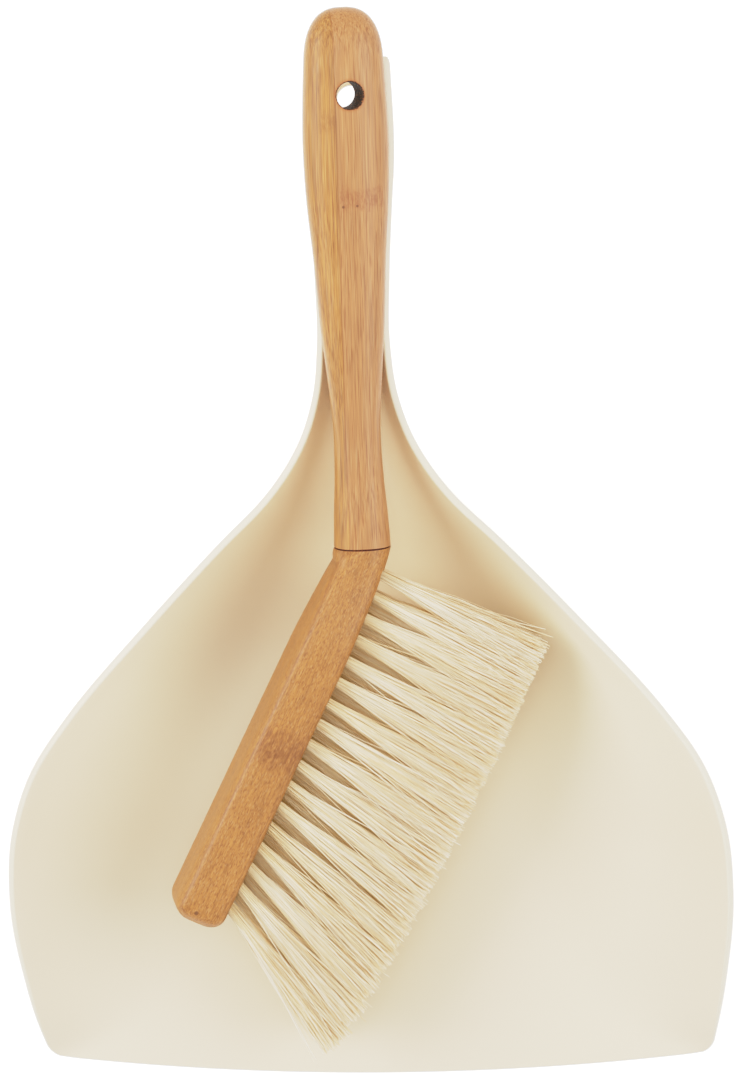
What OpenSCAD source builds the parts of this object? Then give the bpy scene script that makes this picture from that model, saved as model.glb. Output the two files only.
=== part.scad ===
// Dust pan and brush set. The dust pan is one thin moulded shell: a broad scoop
// that narrows through a neck into a channel handle. The hand brush lies in it,
// with its bamboo handle in the channel and its bristles over the tray.
//
// Frame: millimetres, +Z up, +Y towards the handles, +X to the bristle side.
// The origin lies on the floor under the widest place of the tray.

/* [Dust pan] */
// Greatest width across the tray, rim to rim
pan_w = 245; // [225:1:265]
// Length from the middle of the lip to the end of the channel handle
pan_l = 343.4; // [334:0.2:356]
// Height of the rim above the floor, round the back of the tray
rim_h = 39; // [36:0.5:42]
// Thickness of the moulded shell
wall = 2.6; // [2:0.1:3]
// Thickness of the shell at the lip
lip_t = 1.2; // [0.8:0.1:1.8]
// Width of the neck between the tray and the channel handle
neck_w = 24.9; // [24:0.1:28]
// Width of the channel handle where it is widest
grip_w = 30.2; // [29:0.2:33]
// Diameter of the hanging hole in the channel handle
pan_hole_d = 8.8; // [8:0.2:12]

/* [Brush handle] */
// Length of the handle from the joint ring to its rounded end
handle_l = 178; // [170:1:184]
// Width of the handle at its palm swell
swell_w = 28.4; // [26:0.2:29]
// Thickness of the handle at its palm swell
swell_t = 19.5; // [17:0.5:21]
// Width of the handle at its waist
waist_w = 15.8; // [14:0.2:17]
// Diameter of the joint between handle and head
joint_d = 19; // [18:0.2:20]
// Diameter of the hanging hole in the handle
hang_hole_d = 8.8; // [7:0.2:10]

/* [Brush head] */
// Length of the head from the joint ring to its toe
head_l = 137; // [130:1:140]
// Height of the head, from its back to the bristle face
head_h = 17.8; // [16:0.2:19]
// Width of the head across the rows of tufts
head_w = 26; // [24:0.5:28]
// Angle by which the head is cranked against the handle
head_angle = 27.5; // [22:0.5:29]
// Length of the bristles outside the head
bristle_l = 59.5; // [50:0.5:60]
// Number of tufts in each outer row
row_tufts = 17; // [15:1:17]
// Diameter of a tuft where it leaves the head
tuft_d = 4.4; // [3.6:0.1:4.6]
// Gap between neighbouring tufts at their tips
tip_gap = 0.6; // [0.4:0.1:3]

/* [How the brush lies] */
// Rise of the brush handle towards its end, in degrees
brush_pitch = 9.4; // [8.5:0.1:10.5]
// Roll of the brush, bristle side down, in degrees
brush_roll = 14; // [11:0.5:15]
// Gap left where the brush comes nearest to the pan
rest_gap = 0.7; // [0.4:0.1:1.5]

/* [Hidden] */
ROWS = ["a", "b", "c"];
function two(n) = n < 10 ? str("0", n) : str(n);
function tuft_name(row, n) = str("tuft_", row, two(n));

CREAM = "#e6ddc8";
BAMBOO = "#cf9c62";
HEAD_BAMBOO = "#c8904f";
DARK_BROWN = "#4a2a14";
STEEL = "#b9bcc0";
BRISTLE = "#e8dcc0";

EPS = 0.01;

// ---------------------------------------------------------------- curves

// Slope of the curve through the rows of table t, in column c, at row i.
function chord(t, c, i) = (t[i + 1][c] - t[i][c]) / (t[i + 1][0] - t[i][0]);
function tangent(t, c, i) =
    i == 0 ? chord(t, c, 0)
    : i == len(t) - 1 ? chord(t, c, i - 1)
    : let (before = t[i][0] - t[i - 1][0], after = t[i + 1][0] - t[i][0])
      (chord(t, c, i - 1) * after + chord(t, c, i) * before) / (before + after);

// Row of t that starts the stretch in which x lies.
function stretch(t, x, i = 0) =
    i >= len(t) - 2 || x < t[i + 1][0] ? i : stretch(t, x, i + 1);

// Column c of table t at x, along a smooth cubic through the rows.
function smooth(t, c, x) =
    let (
        i = stretch(t, x),
        span = t[i + 1][0] - t[i][0],
        u = (x - t[i][0]) / span
    )
    (1 + 2 * u) * pow(1 - u, 2) * t[i][c]
    + u * pow(1 - u, 2) * span * tangent(t, c, i)
    + u * u * (3 - 2 * u) * t[i + 1][c]
    - u * u * (1 - u) * span * tangent(t, c, i + 1);

// Superellipse point at angle a, with half sizes rx and ry and power n.
function round_pow(v, n) = sign(v) * pow(abs(v), 2 / n);
function superellipse(a, rx, ry, n) = [rx * round_pow(cos(a), n), ry * round_pow(sin(a), n)];

// Share of the full size left at depth d into a rounded end of length l.
function end_share(d, l, n) = d >= l ? 1 : pow(max(0, 1 - pow(1 - d / l, n)), 1 / n);

// Closed skin over rings that each hold the same number of points.
module skin(rings) {
    count = len(rings[0]);
    last = len(rings) - 1;
    points = [for (ring = rings) each ring];
    walls = [
        for (i = [0:last - 1], j = [0:count - 1])
            let (
                k = (j + 1) % count,
                p = i * count + j,
                q = i * count + k
            )
            each [[p, q, q + count], [p, q + count, p + count]]
    ];
    caps = [
        [for (j = [count - 1:-1:0]) j],
        [for (j = [0:count - 1]) last * count + j]
    ];
    polyhedron(points, concat(walls, caps), convexity = 6);
}

// ---------------------------------------------------------------- dust pan

half_w = pan_w / 2;
lip_bulge = 6.4;
front = 56.5;
tail = pan_l - front - lip_bulge;
corner_r = 5;
tail_r = 3;
neck_half = neck_w / 2;
grip_half = grip_w / 2;
channel_depth = 9.4;

// Rim height along the channel handle, which climbs at a steady slope.
neck_y = 0.6637 * tail;
neck_rim = rim_h + 9.2;
channel_slope = 0.018;
function channel_rim(y) = neck_rim + channel_slope * (y - neck_y);
function channel_base(y) = channel_rim(y) - channel_depth;

// Lines of the pan: place along Y, half width, rim height, underside height,
// and the share of the half width that stays flat.
LINES = [
    [-front,        0.937 * half_w,   lip_t,             0,              0.94],
    [-0.8 * front,  0.956 * half_w,   0.30 * rim_h,      0,              0.74],
    [-0.5 * front,  0.980 * half_w,   0.54 * rim_h,      0,              0.57],
    [0,             half_w,           0.83 * rim_h,      0,              0.44],
    [0.0896 * tail, 0.980 * half_w,   0.95 * rim_h,      0,              0.40],
    [0.1592 * tail, 0.921 * half_w,   0.99 * rim_h,      0,              0.38],
    [0.2189 * tail, 0.826 * half_w,   rim_h,             0,              0.36],
    [0.3284 * tail, 0.602 * half_w,   rim_h + 0.4,       0.03 * rim_h,   0.30],
    [0.4229 * tail, 0.394 * half_w,   rim_h + 0.8,       0.16 * rim_h,   0.20],
    [0.4776 * tail, 0.266 * half_w,   rim_h + 1.4,       0.32 * rim_h,   0.12],
    [0.5373 * tail, 1.68 * neck_half, rim_h + 3,         0.53 * rim_h,   0.08],
    [0.5970 * tail, 1.18 * neck_half, rim_h + 6,         0.77 * rim_h,   0.10],
    [neck_y,        neck_half,        channel_rim(neck_y),       channel_base(neck_y),       0.20],
    [0.7363 * tail, 0.84 * grip_half, channel_rim(0.7363 * tail), channel_base(0.7363 * tail), 0.30],
    [0.8308 * tail, 0.94 * grip_half, channel_rim(0.8308 * tail), channel_base(0.8308 * tail), 0.32],
    [0.8756 * tail, grip_half,        channel_rim(0.8756 * tail), channel_base(0.8756 * tail), 0.32],
    [tail,          0.95 * grip_half, channel_rim(tail),         channel_base(tail),         0.32]
];
function half_at(y) = smooth(LINES, 1, y);
function rim_at(y) = smooth(LINES, 2, y);

// The underside stays flat to behind the weight of pan and brush together,
// so that the set stands still, and eases up from there.
foot_end = 0.275 * tail;
foot_ease = 30;
function ease_in(t) = let (u = min(1, max(0, t))) u * u * (3 - 2 * u);
function under_at(y) = ease_in((y - foot_end) / foot_ease) * max(0, smooth(LINES, 3, y));
function flat_at(y) = smooth(LINES, 4, y);

// The walls curl up from the flat middle of the floor with this power.
wall_power = 2.3;

// The shell thins out towards the lip.
thin_reach = 40;
function shell_at(y) = wall - (wall - lip_t) * pow(max(0, 1 - (y + front) / thin_reach), 2);

// Width lost to the rounded corners at the lip and at the handle's end.
function corner_loss(d, r) = d >= r ? 0 : r - sqrt(max(0, r * r - pow(r - d, 2)));

// Slope of the wall at the rim, as its sine.
function rim_sine(y) =
    let (steep = wall_power * (rim_at(y) - under_at(y)) / (half_at(y) * (1 - flat_at(y))))
    steep / sqrt(1 + steep * steep);

// Inner half width: the rim is cut square across the wall.
function inner_half(y) =
    half_at(y) - shell_at(y) * rim_sine(y)
    - corner_loss(y + front, corner_r) - corner_loss(tail - y, tail_r);

// Inner face of the shell at station y and across position s from -1 to 1.
function rise(s, flat) = pow(max(0, (abs(s) - flat) / (1 - flat)), wall_power);
function inner_point(y, s) =
    let (
        floor_z = under_at(y) + shell_at(y),
        bulge = lip_bulge * pow(max(0, -y / front), 1.5)
    )
    [s * inner_half(y), y - bulge * (1 - s * s),
     floor_z + (max(rim_at(y), floor_z) - floor_z) * rise(s, flat_at(y))];

// Outer face: the inner face moved out along its own normal, flat on the floor.
step = 0.05;
floor_snap = 0.06;
function inner_normal(y, s) =
    let (
        ya = max(y - step, -front), yb = min(y + step, tail),
        sa = max(s - step / 10, -1), sb = min(s + step / 10, 1),
        n = cross(inner_point(y, sb) - inner_point(y, sa), inner_point(yb, s) - inner_point(ya, s))
    )
    n / norm(n);
// Outer rows crowd up to the handle's end plane, and keep this share of their distance from it.
END_CROWD = 0.1;
function outer_point(y, s) =
    let (p = inner_point(y, s) - shell_at(y) * inner_normal(y, s))
    [p[0], min(p[1], tail - END_CROWD * (tail - y)), p[2] < floor_snap ? 0 : p[2]];

STATION_GAP = 5.4;
corner_steps = [for (a = [0:18:72]) 1 - cos(a)];
body_steps = ceil((tail - tail_r + front - corner_r) / STATION_GAP);
STATIONS = concat(
    [for (c = corner_steps) -front + corner_r * c * 1.2],
    [for (i = [1:body_steps - 1]) -front + corner_r + (tail - tail_r + front - corner_r) * i / body_steps],
    [for (i = [len(corner_steps) - 1:-1:0]) tail - tail_r * corner_steps[i] * 1.2]
);
ACROSS = 30;
SHARES = [for (j = [0:ACROSS]) -1 + 2 * j / ACROSS];

// Distance of the hanging hole in from the end of the channel handle.
pan_hole_y = tail - 12.7;

module dust_pan_shell() {
    row = ACROSS + 1;
    last = len(STATIONS) - 1;
    sheet = row * len(STATIONS);
    points = concat(
        [for (y = STATIONS, s = SHARES) inner_point(y, s)],
        [for (y = STATIONS, s = SHARES) outer_point(y, s)]
    );
    faces = concat(
        [for (i = [0:last - 1], j = [0:ACROSS - 1]) let (p = i * row + j)
            each [[p, p + row, p + row + 1], [p, p + row + 1, p + 1]]],
        [for (i = [0:last - 1], j = [0:ACROSS - 1]) let (p = sheet + i * row + j)
            each [[p, p + row + 1, p + row], [p, p + 1, p + row + 1]]],
        [for (i = [0:last - 1]) let (p = i * row)
            each [[p, sheet + p, sheet + p + row], [p, sheet + p + row, p + row]]],
        [for (i = [0:last - 1]) let (p = i * row + ACROSS)
            each [[p, p + row, sheet + p + row], [p, sheet + p + row, sheet + p]]],
        [for (j = [0:ACROSS - 1]) each [[j, j + 1, sheet + j + 1], [j, sheet + j + 1, sheet + j]]],
        [for (j = [0:ACROSS - 1]) let (p = last * row + j)
            each [[p, sheet + p, sheet + p + 1], [p, sheet + p + 1, p + 1]]]
    );
    polyhedron(points, faces, convexity = 8);
}

module dust_pan() {
    color(CREAM)
    difference() {
        dust_pan_shell();
        translate([0, pan_hole_y, channel_base(pan_hole_y)])
            cylinder(d = pan_hole_d, h = 40, center = true, $fn = 64);
    }
}

// ---------------------------------------------------------------- brush frame

// The brush is built in its own frame: origin at the centre of the joint ring,
// +Y along the handle, +X to the bristle side. It lies in the pan as placed here.
ring_x = 1.3;
ring_y = 0.4226 * tail;

module lay_brush() {
    translate([ring_x, ring_y, ring_z])
        rotate([brush_pitch, 0, 0]) rotate([0, brush_roll, 0]) children();
}

// The head is cranked about the joint and stands a little to the bristle side
// of it; its -Y axis runs to the toe.
head_offset = 1.4;
module in_head() {
    rotate([0, 0, -head_angle]) translate([head_offset, 0, 0]) children();
}

// ---------------------------------------------------------------- brush handle

ring_t = 0.6;
ring_set_in = 0.5;
stud_d = 4;
stud_in_handle = 18;
stud_in_head = 9;
stud_end_gap = 0.5;
bore_clear = 0.1;

// Lines of the handle: distance from the joint, half width, half thickness.
HANDLE_LINES = [
    [0,               joint_d / 2,      joint_d / 2],
    [0.06 * handle_l, 0.475 * joint_d,  0.48 * joint_d],
    [0.13 * handle_l, 0.52 * waist_w,   0.44 * joint_d],
    [0.23 * handle_l, 0.50 * waist_w,   0.41 * joint_d],
    [0.32 * handle_l, 0.58 * waist_w,   0.42 * joint_d],
    [0.41 * handle_l, 0.375 * swell_w,  0.43 * swell_t],
    [0.54 * handle_l, 0.425 * swell_w,  0.46 * swell_t],
    [0.66 * handle_l, 0.485 * swell_w,  0.49 * swell_t],
    [0.76 * handle_l, 0.50 * swell_w,   0.50 * swell_t],
    [0.87 * handle_l, 0.475 * swell_w,  0.49 * swell_t],
    [handle_l,        0.425 * swell_w,  0.45 * swell_t]
];
handle_bow = 1;
handle_round = 17;
end_power = 2.6;
HANDLE_RING = 44;
hang_hole_x = -0.5;
hang_hole_y = 0.84 * handle_l;

function handle_ring(y) =
    let (
        share = end_share(handle_l - y, handle_round, end_power),
        rx = smooth(HANDLE_LINES, 1, y) * share,
        ry = smooth(HANDLE_LINES, 2, y) * share,
        power = 2.35,
        bow = -handle_bow * sin(135 * y / handle_l)
    )
    [for (j = [0:HANDLE_RING - 1])
        let (p = superellipse(360 * j / HANDLE_RING, rx, ry, power))
        [p[0] + bow, y, p[1]]];

handle_straight = handle_l - handle_round;
handle_steps = 24;
module brush_handle() {
    stations = concat(
        [for (i = [0:handle_steps]) ring_t + (handle_straight - ring_t) * i / handle_steps],
        [for (a = [15:15:75]) handle_straight + handle_round * sin(a)],
        [handle_l - 0.04]
    );
    lay_brush()
    color(BAMBOO)
    difference() {
        skin([for (i = [len(stations) - 1:-1:0]) handle_ring(stations[i])]);
        translate([hang_hole_x, hang_hole_y, 0])
            cylinder(d = hang_hole_d, h = 2 * swell_t, center = true, $fn = 64);
        rotate([-90, 0, 0])
            cylinder(d = stud_d + bore_clear, h = stud_in_handle + stud_end_gap, $fn = 48);
    }
}

module joint_ring() {
    lay_brush()
    color(DARK_BROWN)
    rotate([-90, 0, 0])
    difference() {
        cylinder(d = joint_d - ring_set_in, h = ring_t, $fn = 64);
        translate([0, 0, -EPS])
            cylinder(d = stud_d + bore_clear, h = ring_t + 2 * EPS, $fn = 48);
    }
}

module joining_stud() {
    lay_brush()
    color(STEEL)
    rotate([-90, 0, 0])
    translate([0, 0, -stud_in_head])
        cylinder(d = stud_d, h = stud_in_head + stud_in_handle, $fn = 48);
}

// ---------------------------------------------------------------- brush head

toe_r = 5.5;
neck_turn = 8;
neck_blend = 40;
square_up = 14;
heel_slim = 1;
HEAD_RING = 40;

// Share of the way from the joint's round to the full head, and half width there.
function head_ease(d) = let (blend = min(1, d / neck_blend)) blend * blend * (3 - 2 * blend);
function head_half_w(d) = joint_d / 2 + (head_w - joint_d) / 2 * head_ease(d);

// Section of the head at distance d from the joint. It starts as the round of
// the joint, square to the handle, and turns into a rounded oblong.
function head_section(d) =
    let (
        ease = head_ease(d),
        toe = head_l - d,
        pull = toe >= toe_r ? 0 : toe_r - sqrt(max(0, toe_r * toe_r - pow(toe_r - toe, 2))),
        start = max(0, 1 - d / neck_turn),
        half_h = head_h / 2 - (1 - ease) * heel_slim + start * (joint_d / 2 - head_h / 2 + heel_slim) - pull,
        half_d = head_half_w(d) - pull,
        power = 2 + 3.4 * min(1, d / square_up),
        lean = head_angle * start
    )
    [for (j = [0:HEAD_RING - 1])
        let (p = superellipse(360 * j / HEAD_RING, half_h, half_d, power))
        [p[0] * cos(lean) - head_offset * start, -d + p[0] * sin(lean), p[1]]];

first_tuft = 5.6;
toe_margin = 9.2;
last_tuft = head_l - toe_margin;
tuft_pitch = (last_tuft - first_tuft) / (row_tufts - 1);
tip_d = tuft_pitch - tip_gap;
row_edge = 4.9;
hole_depth = 9.6;
staple_t = 0.5;

// The middle row is staggered, and leaves room for the stud at its heel end.
function tufts_in(row) = row == "b" ? row_tufts - 2 : row_tufts;
function tuft_d_at(row, n) = first_tuft + tuft_pitch * (row == "b" ? n + 0.5 : n - 1);

// Side of the head that a row stands on: +1, 0 or -1, and its place across it.
// The outer rows keep in from the edges, and leave a web of wood beside the stud
// even where a leaning hole comes nearest to it, at its bottom.
stud_web = 0.4;
function row_in(row) =
    (stud_d + bore_clear) / 2 + (tuft_d + bore_clear) / 2 + stud_web
    + side(row) * hole_depth * sin(lean(row));
function side(row) = row == "a" ? 1 : row == "b" ? 0 : -1;
function row_z(row, d) = side(row) * max(row_in(row), head_half_w(d) - row_edge);

// The tufts fan out towards the toe, from heel_splay by another toe_splay. All
// lean a little away from the tray that they lie in, and the rows lean apart.
heel_splay = 3;
toe_splay = 24.7;
tuft_lean = 3.2;
row_lean = 2;
function splay(d) = heel_splay + toe_splay * pow((d - first_tuft) / (last_tuft - first_tuft), 2);
function lean(row) = tuft_lean + row_lean * side(row);

// Points round the tips of a tuft, in the brush frame.
function in_head_point(p) =
    let (x = p[0] + head_offset)
    [x * cos(head_angle) + p[1] * sin(head_angle), -x * sin(head_angle) + p[1] * cos(head_angle), p[2]];
function tip_ring(row, n) =
    let (d = tuft_d_at(row, n))
    [for (a = [0:45:315])
        let (
            across = tip_d / 2 * cos(a),
            up = tip_d / 2 * sin(a),
            out = bristle_l * cos(lean(row)) - up * sin(lean(row)),
            high = bristle_l * sin(lean(row)) + up * cos(lean(row))
        )
        in_head_point([
            head_h / 2 + out * cos(splay(d)) + across * sin(splay(d)),
            -d - out * sin(splay(d)) + across * cos(splay(d)),
            row_z(row, d) + high
        ])];

module at_tuft(row, n) {
    d = tuft_d_at(row, n);
    in_head()
    translate([head_h / 2, -d, row_z(row, d)])
    rotate([0, 0, -splay(d)])
    rotate([0, -lean(row), 0])
    rotate([0, 90, 0])
        children();
}

module brush_head() {
    stations = concat(
        [0, 2, 4, 6, neck_turn],
        [for (d = [12:4:neck_blend]) d],
        [for (i = [1:4]) neck_blend + (head_l - toe_r - neck_blend) * i / 4],
        [for (a = [22.5:22.5:67.5]) head_l - toe_r + toe_r * sin(a)],
        [head_l]
    );
    lay_brush()
    color(HEAD_BAMBOO)
    difference() {
        in_head() skin([for (d = stations) head_section(d)]);
        rotate([90, 0, 0])
            translate([0, 0, -1])
                cylinder(d = stud_d + bore_clear, h = 1 + stud_in_head + stud_end_gap, $fn = 48);
        for (row = ROWS, n = [1:tufts_in(row)])
            at_tuft(row, n)
                translate([0, 0, -hole_depth])
                    cylinder(d = tuft_d + bore_clear, h = hole_depth + 6, $fn = 20);
    }
}

// ---------------------------------------------------------------- rest

// A point of the brush frame, turned as the brush lies.
function turned(p) =
    let (
        x = p[0] * cos(brush_roll) + p[2] * sin(brush_roll),
        z = -p[0] * sin(brush_roll) + p[2] * cos(brush_roll)
    )
    [x, p[1] * cos(brush_pitch) - z * sin(brush_pitch), p[1] * sin(brush_pitch) + z * cos(brush_pitch)];

// Height of the top of the pan over a point of the floor.
function pan_top(x, y) =
    y > tail || abs(x) > half_at(y) ? 0
    : abs(x) > inner_half(y) ? rim_at(y)
    : inner_point(y, x / inner_half(y))[2];

// The brush comes down until its nearest point is rest_gap above the pan.
function seat(points) = max([
    for (p = points) let (q = turned(p)) pan_top(ring_x + q[0], ring_y + q[1]) - q[2]
]);
ring_z = rest_gap + max(
    seat([for (i = [0:0.5:handle_steps], p = handle_ring(handle_straight * i / handle_steps)) p]),
    seat([for (row = ROWS, n = [1:tufts_in(row)], p = tip_ring(row, n)) p])
);

// ---------------------------------------------------------------- bristles

module tuft(row, n) {
    lay_brush()
    color(BRISTLE)
    at_tuft(row, n) {
        translate([0, 0, -hole_depth + staple_t])
            cylinder(d = tuft_d, h = hole_depth - staple_t + EPS, $fn = 20);
        cylinder(d1 = tuft_d, d2 = tip_d, h = bristle_l, $fn = 20);
    }
}

// A bent wire anchor holds each tuft at the bottom of its hole.
module tuft_staples() {
    lay_brush()
    color(STEEL)
    for (row = ROWS, n = [1:tufts_in(row)])
        at_tuft(row, n)
            translate([-tuft_d / 2 + 0.3, -staple_t / 2, -hole_depth])
                cube([tuft_d - 0.6, staple_t, staple_t - 2 * EPS]);
}

// ---------------------------------------------------------------- nodes

dust_pan();
brush_handle();
brush_head();
joint_ring();
joining_stud();
tuft_staples();
for (row = ROWS, n = [1:tufts_in(row)])
    tuft(row, n);
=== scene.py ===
"""Looks for a dust pan with its hand brush lying in it.

The pan is one thin moulded shell, the brush is oiled bamboo with rows of pale
bristles. Sizes are in millimetres until they reach a mesh, which is in metres.
"""

import logging
import math
from dataclasses import dataclass, field
from enum import Enum

import bpy
import numpy as np
from mathutils import Matrix, Vector


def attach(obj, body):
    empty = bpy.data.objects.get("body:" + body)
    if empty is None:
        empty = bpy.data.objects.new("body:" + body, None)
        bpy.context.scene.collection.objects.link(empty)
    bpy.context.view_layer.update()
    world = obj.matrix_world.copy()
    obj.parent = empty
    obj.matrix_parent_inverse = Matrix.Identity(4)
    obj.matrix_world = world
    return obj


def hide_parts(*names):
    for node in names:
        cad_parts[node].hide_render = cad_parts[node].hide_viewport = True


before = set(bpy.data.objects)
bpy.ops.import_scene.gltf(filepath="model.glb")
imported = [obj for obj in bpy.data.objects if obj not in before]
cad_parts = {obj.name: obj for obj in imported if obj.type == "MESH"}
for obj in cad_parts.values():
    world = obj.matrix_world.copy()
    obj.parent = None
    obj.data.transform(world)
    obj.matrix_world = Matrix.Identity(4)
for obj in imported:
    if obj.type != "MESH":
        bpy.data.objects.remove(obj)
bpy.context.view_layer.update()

MM = 0.001
PAN_BODY = "pan"
BRUSH_BODY = "brush"
LOG = logging.getLogger("dust_pan_set")

Value = float | tuple | bpy.types.NodeSocket
Colour = tuple[float, float, float]


# ------------------------------------------------------------------ curves


@dataclass(frozen=True)
class Lines:
    """A table of sizes by place, read along a smooth cubic through its rows."""

    rows: tuple

    def at(self, column: int, place: np.ndarray | float) -> np.ndarray:
        """Reads one column.

        Args:
            column: number of the column, after the place in column 0.
            place: where to read it, one place or an array of them.

        Returns:
            The size at each place.
        """
        table = np.array(self.rows, float)
        at, value = table[:, 0], table[:, column]
        gap = np.diff(at)
        chord = np.diff(value) / gap
        slope = np.empty_like(value)
        slope[0], slope[-1] = chord[0], chord[-1]
        slope[1:-1] = (chord[:-1] * gap[1:] + chord[1:] * gap[:-1]) / (gap[:-1] + gap[1:])
        x = np.asarray(place, float)
        i = np.clip(np.searchsorted(at, x, side="right") - 1, 0, len(at) - 2)
        span = gap[i]
        u = (x - at[i]) / span
        return (
            (1 + 2 * u) * (1 - u) ** 2 * value[i]
            + u * (1 - u) ** 2 * span * slope[i]
            + u * u * (3 - 2 * u) * value[i + 1]
            - u * u * (1 - u) * span * slope[i + 1]
        )


def superellipse(turns: np.ndarray, half_x: float, half_z: float, power: float) -> np.ndarray:
    """Points of a rounded oblong.

    Args:
        turns: angles round it, in radians.
        half_x: half its size along X.
        half_z: half its size along Z.
        power: 2 for an ellipse, more for squarer corners.

    Returns:
        One row of X and Z for each angle.
    """
    cos, sin = np.cos(turns), np.sin(turns)
    return np.stack([
        half_x * np.sign(cos) * np.abs(cos) ** (2 / power),
        half_z * np.sign(sin) * np.abs(sin) ** (2 / power),
    ], axis=-1)


def unit(vectors: np.ndarray) -> np.ndarray:
    """The vectors, each scaled to length 1."""
    return vectors / np.maximum(np.linalg.norm(vectors, axis=-1, keepdims=True), 1e-12)


# ------------------------------------------------------------------ meshes


def make_object(name: str, points: np.ndarray, faces: list, placed: Matrix | None = None) -> bpy.types.Object:
    """Makes a mesh object at the origin.

    Args:
        name: name of the piece.
        points: its points, in millimetres.
        faces: its faces, as tuples of point numbers.
        placed: where its own frame lies in the set's frame, in millimetres.

    Returns:
        The new object, in the scene.
    """
    mesh = bpy.data.meshes.new(name)
    mesh.from_pydata([tuple(p) for p in points], [], faces)
    if placed is not None:
        mesh.transform(placed)
    mesh.transform(Matrix.Scale(MM, 4))
    mesh.validate()
    mesh.update()
    made = bpy.data.objects.new(name, mesh)
    bpy.context.scene.collection.objects.link(made)
    return made


def settle(made: bpy.types.Object, sharp: float | None = 35.0) -> bpy.types.Object:
    """Applies what modifiers are on an object, and shades it smooth.

    Args:
        made: the object.
        sharp: angle in degrees over which an edge stays crisp.

    Returns:
        The same object, with a plain mesh.
    """
    if made.modifiers:
        seen = made.evaluated_get(bpy.context.evaluated_depsgraph_get())
        plain = bpy.data.meshes.new_from_object(seen)
        made.modifiers.clear()
        made.data = plain
    made.data.polygons.foreach_set("use_smooth", [True] * len(made.data.polygons))
    if sharp is not None:
        made.data.set_sharp_from_angle(angle=math.radians(sharp))
    made.data.update()
    return made


def skin_faces(count: int, rings: int) -> list:
    """Faces of a closed skin over rings of points, with its two ends capped.

    Args:
        count: points in a ring.
        rings: number of rings.

    Returns:
        The faces, as tuples of point numbers.
    """
    walls = [
        (i * count + j, i * count + (j + 1) % count, (i + 1) * count + (j + 1) % count, (i + 1) * count + j)
        for i in range(rings - 1) for j in range(count)
    ]
    first = tuple(range(count - 1, -1, -1))
    last = tuple((rings - 1) * count + j for j in range(count))
    return walls + [first, last]


def lathe(name: str, profile: list, segments: int, placed: Matrix) -> bpy.types.Object:
    """Makes a turned solid.

    Args:
        name: name of the object.
        profile: its radius and height at each ring, from the bottom up.
        segments: number of sides.
        placed: where it stands in the set's frame, its axis along Z.

    Returns:
        The new object.
    """
    turns = np.arange(segments) * 2 * np.pi / segments
    points = np.concatenate([
        np.stack([r * np.cos(turns), r * np.sin(turns), np.full(segments, z)], axis=-1) for r, z in profile
    ])
    return make_object(name, points, skin_faces(segments, len(profile)), placed)


def hole_profile(radius: float, low: float, high: float, round_over: float, reach: float = 3.0) -> list:
    """Profile of a cutter whose hole has rounded lips.

    Args:
        radius: radius of the bore.
        low: height of the lower face that it cuts.
        high: height of the upper face.
        round_over: radius of the lips.
        reach: how far the cutter stands out beyond both faces.

    Returns:
        Radius and height at each ring, from the bottom up.
    """
    steps = np.radians(np.linspace(0, 90, 6))
    lower = [(radius + round_over * (1 - math.sin(a)), low + round_over * (1 - math.cos(a))) for a in steps]
    upper = [(r, high + low - z) for r, z in reversed(lower)]
    wide = radius + round_over
    return [(wide, low - reach)] + lower + upper + [(wide, high + reach)]


def cut(made: bpy.types.Object, cutters: list) -> None:
    """Cuts the cutters out of an object, and removes them.

    Args:
        made: the object.
        cutters: the solids to take out of it.
    """
    for cutter in cutters:
        trim = made.modifiers.new(cutter.name, "BOOLEAN")
        trim.operation, trim.solver, trim.object = "DIFFERENCE", "EXACT", cutter
    seen = made.evaluated_get(bpy.context.evaluated_depsgraph_get())
    plain = bpy.data.meshes.new_from_object(seen)
    made.modifiers.clear()
    made.data = plain
    for cutter in cutters:
        bpy.data.objects.remove(cutter)


# ------------------------------------------------------------------ wiring


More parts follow.
